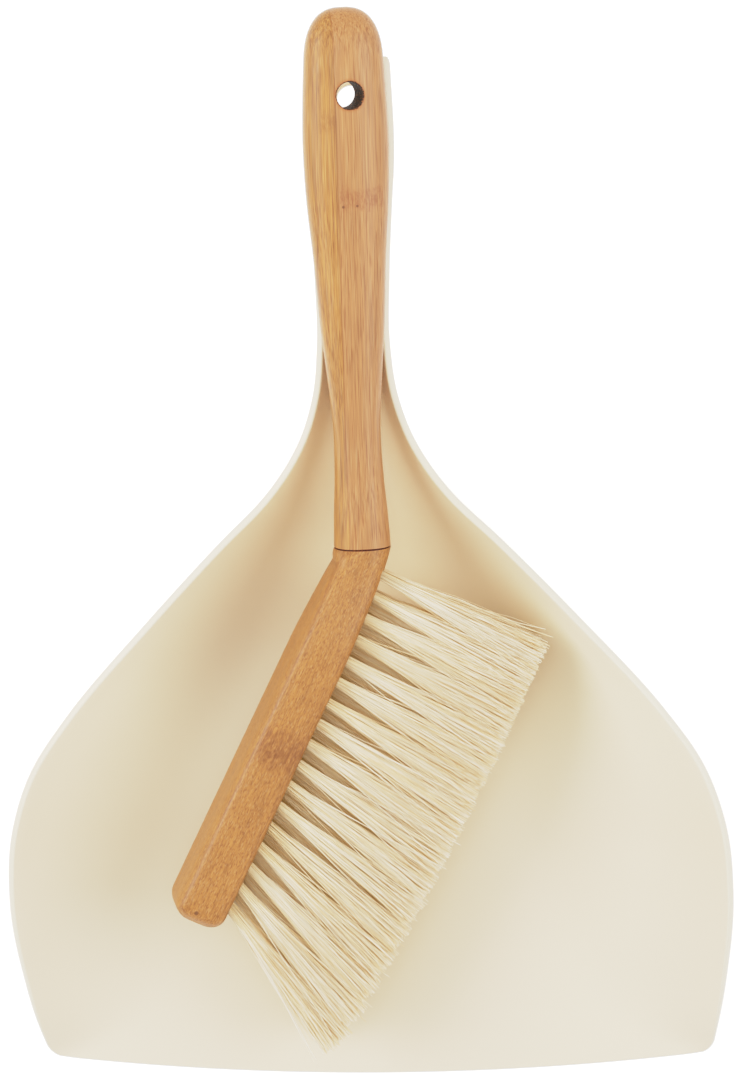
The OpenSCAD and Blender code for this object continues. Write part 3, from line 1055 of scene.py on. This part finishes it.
@dataclass
class BrushHandle:
    """The bamboo handle, slim at the waist and full at the palm."""

    lie: BrushLie
    length: float = 178.0
    palm_w: float = 28.4
    palm_t: float = 19.5
    waist: float = 15.8
    joint: float = 19.0
    ring_t: float = 0.6
    end_round: float = 17.0
    bow: float = 1.0
    shy: float = 0.12
    hole_x: float = -0.5
    hole_radius: float = 4.4
    around: int = 96

    def __post_init__(self) -> None:
        """Works out the lines of the handle."""
        long, joint, waist, wide, thick = self.length, self.joint, self.waist, self.palm_w, self.palm_t
        self.hole_y = 0.84 * long
        self.tip = long - self.shy
        self.lines = Lines((
            (0, joint / 2, joint / 2),
            (0.06 * long, 0.475 * joint, 0.48 * joint),
            (0.13 * long, 0.52 * waist, 0.44 * joint),
            (0.23 * long, 0.50 * waist, 0.41 * joint),
            (0.32 * long, 0.58 * waist, 0.42 * joint),
            (0.41 * long, 0.375 * wide, 0.43 * thick),
            (0.54 * long, 0.425 * wide, 0.46 * thick),
            (0.66 * long, 0.485 * wide, 0.49 * thick),
            (0.76 * long, 0.50 * wide, 0.50 * thick),
            (0.87 * long, 0.475 * wide, 0.49 * thick),
            (long, 0.425 * wide, 0.45 * thick),
        ))

    def ring(self, y: float) -> np.ndarray:
        """Points round the handle at one place along it.

        Args:
            y: distance from the joint.

        Returns:
            The points, one row for each.
        """
        far = min(1.0, (self.tip - y) / self.end_round)
        share = max(0.0, 1 - (1 - far) ** 2.6) ** (1 / 2.6)
        turns = -np.arange(self.around) * 2 * np.pi / self.around
        half_x, half_z = (float(self.lines.at(column, y)) - self.shy for column in (1, 2))
        flat = superellipse(turns, half_x * share, half_z * share, 2.35)
        bent = -self.bow * math.sin(math.radians(135 * y / self.length))
        return np.stack([flat[:, 0] + bent, np.full(self.around, y), flat[:, 1]], axis=-1)

    def build(self) -> bpy.types.Object:
        """Builds the handle with its hanging hole.

        Returns:
            The handle.
        """
        straight = self.tip - self.end_round
        y = list(np.linspace(self.ring_t, straight, 110))
        y += [straight + self.end_round * math.sin(math.radians(a)) for a in range(5, 90, 5)]
        y.append(self.tip - 0.04)
        points = np.concatenate([self.ring(p) for p in y])
        made = make_object("brush_handle_wood", points, skin_faces(self.around, len(y)), self.lie.brush())
        thick = float(self.lines.at(2, self.hole_y))
        profile = hole_profile(self.hole_radius, -thick + 0.1, thick - 0.1, 0.2)
        place = self.lie.brush() @ Matrix.Translation((self.hole_x, self.hole_y, 0))
        cut(made, [lathe("hole_cutter", profile, 72, place)])
        return settle(made, 40.0)

    def finish(self) -> Bamboo:
        """The handle's bamboo: strips along it, one cane joint, and a charred hole whose wall also carries
        painted shade.

        Returns:
            The finish.
        """
        marks = (
            NodeBand(116.0, 4.6, (0.270, 0.088, 0.030), 0.55, left=-5.4, right=9.5, mottle=1.5),
            NodeBand(141.5, 5.0, (0.210, 0.085, 0.025), 0.42, left=-11.0, right=-5.6, mottle=1.2),
            Speck(-3.9, 113.6, 0.5),
            Speck(0.7, 113.8, 0.45),
        )
        return Bamboo(
            "handle_bamboo", self.lie.brush(), Cut.LONG, HANDLE_STRIPS, marks=marks,
            bore=(self.hole_x, self.hole_y, self.hole_radius),
        )

    def dress(self, made: bpy.types.Object) -> None:
        """Gives the handle its finish, its body and the node that it stands for.

        Args:
            made: the handle.
        """
        made.data.materials.clear()
        made.data.materials.append(self.finish().make())
        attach(made, BRUSH_BODY)
        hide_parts("brush_handle")


@dataclass
class BrushHead:
    """The bamboo head, cranked at the joint, with its rows of tuft holes."""

    lie: BrushLie
    length: float = 137.0
    height: float = 17.8
    width: float = 26.0
    joint: float = 19.0
    toe: float = 5.5
    neck_turn: float = 8.0
    neck_blend: float = 40.0
    square_up: float = 14.0
    heel_slim: float = 1.0
    tuft_radius: float = 2.25
    around: int = 96

    def ease(self, d: np.ndarray | float) -> np.ndarray:
        """Share of the way from the joint's round to the full head."""
        blend = np.minimum(1.0, np.asarray(d, float) / self.neck_blend)
        return blend * blend * (3 - 2 * blend)

    def half_w(self, d: np.ndarray | float) -> np.ndarray:
        """Half the width across the rows."""
        return self.joint / 2 + (self.width - self.joint) / 2 * self.ease(d)

    def ring(self, d: float) -> np.ndarray:
        """Points round the head at distance d from the joint.

        Args:
            d: distance from the joint.

        Returns:
            The points, one row for each.
        """
        ease, far = float(self.ease(d)), self.length - d
        short = max(0.0, self.toe ** 2 - (self.toe - far) ** 2)
        pull = 0.0 if far >= self.toe else self.toe - math.sqrt(short)
        start = max(0.0, 1 - d / self.neck_turn)
        slim = (1 - ease) * self.heel_slim
        half_h = self.height / 2 - slim + start * (self.joint / 2 - self.height / 2 + self.heel_slim) - pull
        power = 2 + 3.4 * min(1.0, d / self.square_up)
        lean = math.radians(self.lie.crank * start)
        turns = np.arange(self.around) * 2 * np.pi / self.around
        flat = superellipse(turns, half_h, float(self.half_w(d)) - pull, power)
        return np.stack([
            flat[:, 0] * math.cos(lean) - self.lie.head_offset * start,
            -d + flat[:, 0] * math.sin(lean),
            flat[:, 1],
        ], axis=-1)

    def build(self, tufts: list) -> bpy.types.Object:
        """Builds the head with a hole for each tuft.

        Args:
            tufts: the frame of each tuft, its Z out of the wood.

        Returns:
            The head.
        """
        d = list(np.linspace(0, self.neck_turn, 9))
        d += list(np.linspace(self.neck_turn, self.neck_blend, 16)[1:])
        d += list(np.linspace(self.neck_blend, self.length - self.toe, 30)[1:])
        d += [self.length - self.toe + self.toe * math.sin(math.radians(a)) for a in range(10, 91, 10)]
        points = np.concatenate([self.ring(p) for p in d])
        made = make_object("brush_head_wood", points, skin_faces(self.around, len(d)), self.lie.head())
        bore, mouth = self.tuft_radius, self.tuft_radius + 0.35
        profile = [(bore, -5.0), (bore, -0.5), (mouth, 0.1), (mouth, 3.0)]
        cut(made, [lathe("tuft_hole", profile, 20, tuft) for tuft in tufts])
        return settle(made, 40.0)

    def finish(self) -> Bamboo:
        """The head's bamboo: flecked, with one dark cane joint.

        Returns:
            The finish.
        """
        marks = (
            NodeBand(-71.5, 9.4, (0.190, 0.066, 0.018), 0.62, left=-7.6, right=10.0, mottle=1.5),
            Speck(-2.0, -133.0, 0.8),
        )
        return Bamboo("head_bamboo", self.lie.head(), Cut.SHORT, HEAD_STRIPS, marks=marks)

    def dress(self, made: bpy.types.Object) -> None:
        """Gives the head its finish, its body and the node that it stands for.

        Args:
            made: the head.
        """
        made.data.materials.clear()
        made.data.materials.append(self.finish().make())
        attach(made, BRUSH_BODY)
        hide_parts("brush_head")


class Row(Enum):
    """The rows of tufts: its letter, and the side of the head that it is on."""

    UPPER = ("a", 1)
    MIDDLE = ("b", 0)
    LOWER = ("c", -1)


@dataclass
class TuftRows:
    """Three rows of bristle tufts, set in the head."""

    lie: BrushLie
    head: BrushHead
    bristle: float = 59.5
    tuft_count: int = 17
    first: float = 5.6
    toe_margin: float = 9.2
    row_edge: float = 4.9
    heel_splay: float = 3.0
    toe_splay: float = 24.7
    tuft_lean: float = 3.2
    row_lean: float = 2.0
    stud_radius: float = 2.05
    stud_web: float = 0.4
    hole_radius: float = 2.25
    hole_depth: float = 9.6
    set_in: float = 3.5
    per_tuft: int = 200
    finish: PaleFibre = field(default_factory=PaleFibre)

    def count(self, row: Row) -> int:
        """Number of tufts in a row."""
        return self.tuft_count - 2 if row is Row.MIDDLE else self.tuft_count

    def frames(self, row: Row) -> list:
        """Frame of each tuft of a row, its Z along the bristles.

        Args:
            row: which row.

        Returns:
            The frames, from the joint to the toe.
        """
        last = self.head.length - self.toe_margin
        pitch = (last - self.first) / (self.tuft_count - 1)
        side = row.value[1]
        found = []
        for n in range(1, self.count(row) + 1):
            d = self.first + pitch * (n + 0.5 if row is Row.MIDDLE else n - 1)
            lean = math.radians(self.tuft_lean + self.row_lean * side)
            tilted = side * self.hole_depth * math.sin(lean)
            row_in = self.stud_radius + self.hole_radius + self.stud_web + tilted
            z = side * max(row_in, float(self.head.half_w(d)) - self.row_edge)
            splay = self.heel_splay + self.toe_splay * ((d - self.first) / (last - self.first)) ** 2
            turned = (
                Matrix.Rotation(-math.radians(splay), 4, "Z")
                @ Matrix.Rotation(-lean, 4, "Y")
                @ Matrix.Rotation(math.radians(90), 4, "Y")
            )
            found.append(self.lie.head() @ Matrix.Translation((self.head.height / 2, -d, z)) @ turned)
        return found

    def all_frames(self) -> list:
        """Frame of every tuft."""
        return [one for row in Row for one in self.frames(row)]

    def build(self, row: Row, tree: "BristleTree", material: bpy.types.Material) -> bpy.types.Object:
        """Grows the bristles of one row.

        Args:
            row: which row.
            tree: the node tree that grows them.
            material: finish of the bristles.

        Returns:
            The row, as a plain mesh.
        """
        points, edges = [], []
        for n, tuft in enumerate(self.frames(row)):
            points += [tuple(tuft @ Vector((0, 0, -self.set_in))), tuple(tuft @ Vector((0, 0, self.bristle)))]
            edges.append((2 * n, 2 * n + 1))
        mesh = bpy.data.meshes.new(f"bristles_{row.value[0]}")
        mesh.from_pydata([tuple(c * MM for c in p) for p in points], edges, [])
        made = bpy.data.objects.new(mesh.name, mesh)
        bpy.context.scene.collection.objects.link(made)
        along_head = self.lie.head().to_3x3() @ Vector((0, 1, 0))
        tree.fit(made, {
            "Bristles": self.per_tuft,
            "Row direction": tuple(along_head),
            "Root share": self.set_in / (self.set_in + self.bristle),
            "Seed": 11 + row.value[1],
            "Finish": material,
        })
        return settle(made, None)

    def dress(self, made: bpy.types.Object, row: Row) -> None:
        """Gives a row its body and the nodes that it stands for.

        Args:
            made: the bristles of the row.
            row: which row.
        """
        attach(made, BRUSH_BODY)
        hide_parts(*[f"tuft_{row.value[0]}{n:02d}" for n in range(1, self.count(row) + 1)])


@dataclass
class BristleTree:
    """The node tree that grows bristles on a line for each tuft."""

    root_radius: float = 1.60
    fan_along: float = 4.4
    fan_across: float = 2.3
    stray: float = 9.0
    wave: float = 1.1
    ragged: float = 4.2
    thick: float = 0.34
    bends: int = 7

    def __post_init__(self) -> None:
        """Builds the tree."""
        self.tree = bpy.data.node_groups.new("Bristle rows", "GeometryNodeTree")
        self.sockets: dict = {}
        face = self.tree.interface
        face.new_socket("Geometry", in_out="OUTPUT", socket_type="NodeSocketGeometry")
        face.new_socket("Geometry", in_out="INPUT", socket_type="NodeSocketGeometry")
        for name, kind, value in (
            ("Bristles", "Int", 100), ("Row direction", "Vector", (0, 1, 0)), ("Root share", "Float", 0.05),
            ("Root radius", "Float", self.root_radius * MM), ("Fan along", "Float", self.fan_along * MM),
            ("Fan across", "Float", self.fan_across * MM), ("Stray", "Float", self.stray * MM),
            ("Wave", "Float", self.wave * MM), ("Ragged", "Float", self.ragged * MM),
            ("Thickness", "Float", self.thick * MM), ("Points", "Int", self.bends), ("Seed", "Int", 1),
            ("Finish", "Material", None),
        ):
            socket = face.new_socket(name, in_out="INPUT", socket_type=f"NodeSocket{kind}")
            if value is not None:
                socket.default_value = value
            self.sockets[name] = socket.identifier
        self.wire()

    def wire(self) -> None:
        """Wires the tree: copies, scatter, fan, wave, taper and tube."""
        wire = Wiring(self.tree)
        given = wire.add("NodeGroupInput").outputs
        lines = wire.add("GeometryNodeMeshToCurve", {"Mesh": given["Geometry"]}).outputs[0]
        lines = wire.add("GeometryNodeResampleCurve", {"Curve": lines, "Count": given["Points"]}).outputs[0]
        lines = wire.add(
            "GeometryNodeDuplicateElements", {"Geometry": lines, "Amount": given["Bristles"]}, domain="SPLINE"
        ).outputs[0]
        seed = given["Seed"]
        for number, name in enumerate(("turn", "reach", "shade", "phase", "long", "astray", "away")):
            own = wire.math("MULTIPLY_ADD", seed, 17.0, float(number))
            luck = wire.add("FunctionNodeRandomValue", {"Seed": own}, data_type="FLOAT").outputs[1]
            lines = wire.add(
                "GeometryNodeStoreNamedAttribute", {"Geometry": lines, "Name": name, "Value": luck},
                data_type="FLOAT", domain="CURVE",
            ).outputs[0]
        part = wire.add("GeometryNodeSplineParameter").outputs["Factor"]
        lines = wire.add(
            "GeometryNodeStoreNamedAttribute", {"Geometry": lines, "Name": "along", "Value": part},
            data_type="FLOAT", domain="POINT",
        ).outputs[0]

        def luck_of(name: str) -> bpy.types.NodeSocket:
            """A bristle's own random number from 0 to 1."""
            return wire.add("GeometryNodeInputNamedAttribute", {"Name": name}, data_type="FLOAT").outputs[0]

        aim = wire.add("GeometryNodeInputTangent").outputs[0]
        across = wire.vector("NORMALIZE", wire.vector("CROSS_PRODUCT", aim, given["Row direction"]))
        beside = wire.vector("CROSS_PRODUCT", across, aim)
        turn = wire.math("MULTIPLY", luck_of("turn"), math.tau)
        reach = wire.math("SQRT", luck_of("reach"))
        out = wire.math("SUBTRACT", part, given["Root share"])
        out = wire.math("MAXIMUM", out, 0.0)
        fan = wire.math("POWER", out, 1.15)
        side = wire.math("MULTIPLY", reach, wire.math("COSINE", turn))
        up = wire.math("MULTIPLY", reach, wire.math("SINE", turn))
        side_size = wire.math("MULTIPLY_ADD", given["Fan along"], fan, given["Root radius"])
        up_size = wire.math("MULTIPLY_ADD", given["Fan across"], fan, given["Root radius"])
        side = wire.math("MULTIPLY", side, side_size)
        up = wire.math("MULTIPLY", up, up_size)
        rare = wire.math("POWER", luck_of("astray"), 7.0)
        wild = wire.math("MULTIPLY", rare, wire.math("MULTIPLY", fan, given["Stray"]))
        off = wire.math("MULTIPLY", luck_of("away"), math.tau)
        side = wire.math("MULTIPLY_ADD", wild, wire.math("COSINE", off), side)
        up = wire.math("MULTIPLY_ADD", wild, wire.math("MULTIPLY", wire.math("SINE", off), 0.4), up)
        phase = wire.math("MULTIPLY", luck_of("phase"), math.tau)
        swing = wire.math("MULTIPLY", wire.math("MULTIPLY", given["Wave"], out), luck_of("away"))
        bend = wire.math("SINE", wire.math("MULTIPLY_ADD", part, 9.0, phase))
        side = wire.math("MULTIPLY_ADD", swing, bend, side)
        bend = wire.math("COSINE", wire.math("MULTIPLY_ADD", part, 7.0, phase))
        up = wire.math("MULTIPLY_ADD", swing, bend, up)
        short = wire.math("MULTIPLY", wire.math("POWER", luck_of("long"), 2.0), given["Ragged"])
        short = wire.math("MULTIPLY", wire.math("MULTIPLY", short, part), -1.0)
        offset = wire.vector("ADD", wire.scaled(beside, side), wire.scaled(across, up))
        offset = wire.vector("ADD", offset, wire.scaled(aim, short))
        lines = wire.add("GeometryNodeSetPosition", {"Geometry": lines, "Offset": offset}).outputs[0]
        taper = wire.between(part, 0.0, 1.0, 1.0, 0.78)
        radius = wire.math("MULTIPLY", given["Thickness"], 0.5)
        ring = wire.add("GeometryNodeCurvePrimitiveCircle", {"Resolution": 3, "Radius": radius})
        tubes = wire.add("GeometryNodeCurveToMesh", {
            "Curve": lines, "Profile Curve": ring.outputs[0], "Scale": taper, "Fill Caps": True,
        }).outputs[0]
        solid = wire.add("GeometryNodeRealizeInstances", {0: tubes}).outputs[0]
        coloured = {"Geometry": solid, "Material": given["Finish"]}
        done = wire.add("GeometryNodeSetMaterial", coloured).outputs[0]
        wire.add("NodeGroupOutput", {0: done})

    def fit(self, made: bpy.types.Object, values: dict) -> None:
        """Puts the tree on an object with its values.

        Args:
            made: object that holds a line for each tuft.
            values: what goes into the tree's inputs, by name.
        """
        grow = made.modifiers.new("Grow bristles", "NODES")
        grow.node_group = self.tree
        for name, value in values.items():
            grow[self.sockets[name]] = value


@dataclass
class Fittings:
    """The small parts between handle, head and tufts, shown as they are."""

    lie: BrushLie

    def dress(self) -> None:
        """Gives each fitting its finish."""
        steel = DrawnSteel(self.lie.brush()).make()
        finishes = {"joint_ring": DarkRing().make(), "joining_stud": steel, "tuft_staples": steel}
        for name, material in finishes.items():
            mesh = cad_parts[name].data
            mesh.materials.clear()
            mesh.materials.append(material)


# ------------------------------------------------------------------ studio


@dataclass(frozen=True)
class SoftBox:
    """A soft square lamp."""

    name: str
    place: tuple
    target: tuple
    size: float
    watts: float
    tone: Colour = (1.0, 1.0, 1.0)

    def hang(self) -> None:
        """Hangs the lamp and turns it to its target."""
        lamp = bpy.data.lights.new(self.name, "AREA")
        lamp.shape, lamp.size, lamp.energy, lamp.color = "SQUARE", self.size, self.watts, self.tone
        held = bpy.data.objects.new(self.name, lamp)
        aim = Vector(self.target) - Vector(self.place)
        held.matrix_world = Matrix.Translation(self.place) @ aim.to_track_quat("-Z", "Y").to_matrix().to_4x4()
        bpy.context.scene.collection.objects.link(held)


@dataclass
class Studio:
    """Floor, soft light and camera."""

    look_x: float = 0.00036
    look_y: float = 0.12077
    distance: float = 1.2
    side_tilt: float = 5.0
    roll: float = 1.1
    view_across: float = 12.16
    floor_size: float = 60.0
    floor_gap: float = 0.3
    lamps: tuple = (
        SoftBox("left_lamp", (-1.15, 0.30, 0.95), (0.0, 0.1, 0.0), 0.9, 10.5),
        SoftBox("right_lamp", (1.15, 0.15, 0.95), (0.0, 0.1, 0.0), 0.9, 7.5),
        SoftBox("top_lamp", (0.06, 0.16, 2.00), (0.0, 0.12, 0.0), 0.8, 4.5),
    )
    sky: float = 0.70
    tones: tuple = (
        (0.0, 0.0), (0.15, 0.17), (0.35, 0.43), (0.55, 0.64), (0.80, 0.765),
        (1.05, 0.835), (1.25, 0.90), (1.45, 1.02), (3.0, 2.4),
    )

    def build(self) -> None:
        """Builds the floor, the lights, the sky and the camera."""
        half = self.floor_size / 2 / MM
        square = ((-half, -half), (half, -half), (half, half), (-half, half))
        corners = np.array([(x, y, -self.floor_gap) for x, y in square])
        floor = make_object("floor", corners, [(0, 1, 2, 3)])
        floor.data.materials.append(PaleFloor().make())
        floor.visible_diffuse = False
        for lamp in self.lamps:
            lamp.hang()
        world = bpy.data.worlds.new("sky")
        world.use_nodes = True
        world.node_tree.nodes["Background"].inputs["Color"].default_value = (1.0, 1.0, 1.0, 1.0)
        world.node_tree.nodes["Background"].inputs["Strength"].default_value = self.sky
        bpy.context.scene.world = world
        self.set_tones()
        self.aim_camera()

    def set_tones(self) -> None:
        """Sets a soft shoulder on the picture's tones, so that pale surfaces keep their shade."""
        view = bpy.context.scene.view_settings
        view.view_transform = "Standard"
        view.use_curve_mapping = True
        view.curve_mapping.clip_max_x = view.curve_mapping.clip_max_y = 4.0
        tones = view.curve_mapping.curves[3]
        tones.points[1].location = self.tones[-1]
        for point in self.tones[1:-1]:
            tones.points.new(*point)
        view.curve_mapping.update()

    def aim_camera(self) -> None:
        """Sets the camera over the set, a little to the bristle side."""
        tilt, roll = math.radians(self.side_tilt), math.radians(self.roll)
        back = Vector((math.sin(tilt), 0.0, math.cos(tilt)))
        level = Vector((math.cos(tilt), 0.0, -math.sin(tilt)))
        away = Vector((0.0, 1.0, 0.0))
        right = level * math.cos(roll) - away * math.sin(roll)
        up = away * math.cos(roll) + level * math.sin(roll)
        place = Vector((self.look_x, self.look_y, 0.0)) + back * self.distance
        lens = bpy.data.cameras.new("camera")
        lens.sensor_fit = "HORIZONTAL"
        lens.angle = math.radians(self.view_across)
        held = bpy.data.objects.new("camera", lens)
        turned = Matrix((right, up, back)).transposed().to_4x4()
        held.matrix_world = Matrix.Translation(place) @ turned
        bpy.context.scene.collection.objects.link(held)
        bpy.context.scene.camera = held


def report(made: bpy.types.Object) -> None:
    """Reports a finished piece."""
    triangles = sum(len(face.vertices) - 2 for face in made.data.polygons)
    LOG.info("%s: %d triangles", made.name, triangles)


def main() -> None:
    """Builds the set, piece by piece, and its studio."""
    logging.basicConfig(level=logging.INFO, format="%(name)s %(message)s")
    pan = DustPan()
    shell = pan.build()
    pan.dress(shell)
    report(shell)
    lie = BrushLie()
    handle = BrushHandle(lie)
    grip = handle.build()
    handle.dress(grip)
    report(grip)
    head = BrushHead(lie)
    rows = TuftRows(lie, head)
    block = head.build(rows.all_frames())
    head.dress(block)
    report(block)
    tree, fibre = BristleTree(), rows.finish.make()
    for row in Row:
        bristles = rows.build(row, tree, fibre)
        rows.dress(bristles, row)
        report(bristles)
    Fittings(lie).dress()
    Studio().build()


if __name__ == "__main__":
    main()
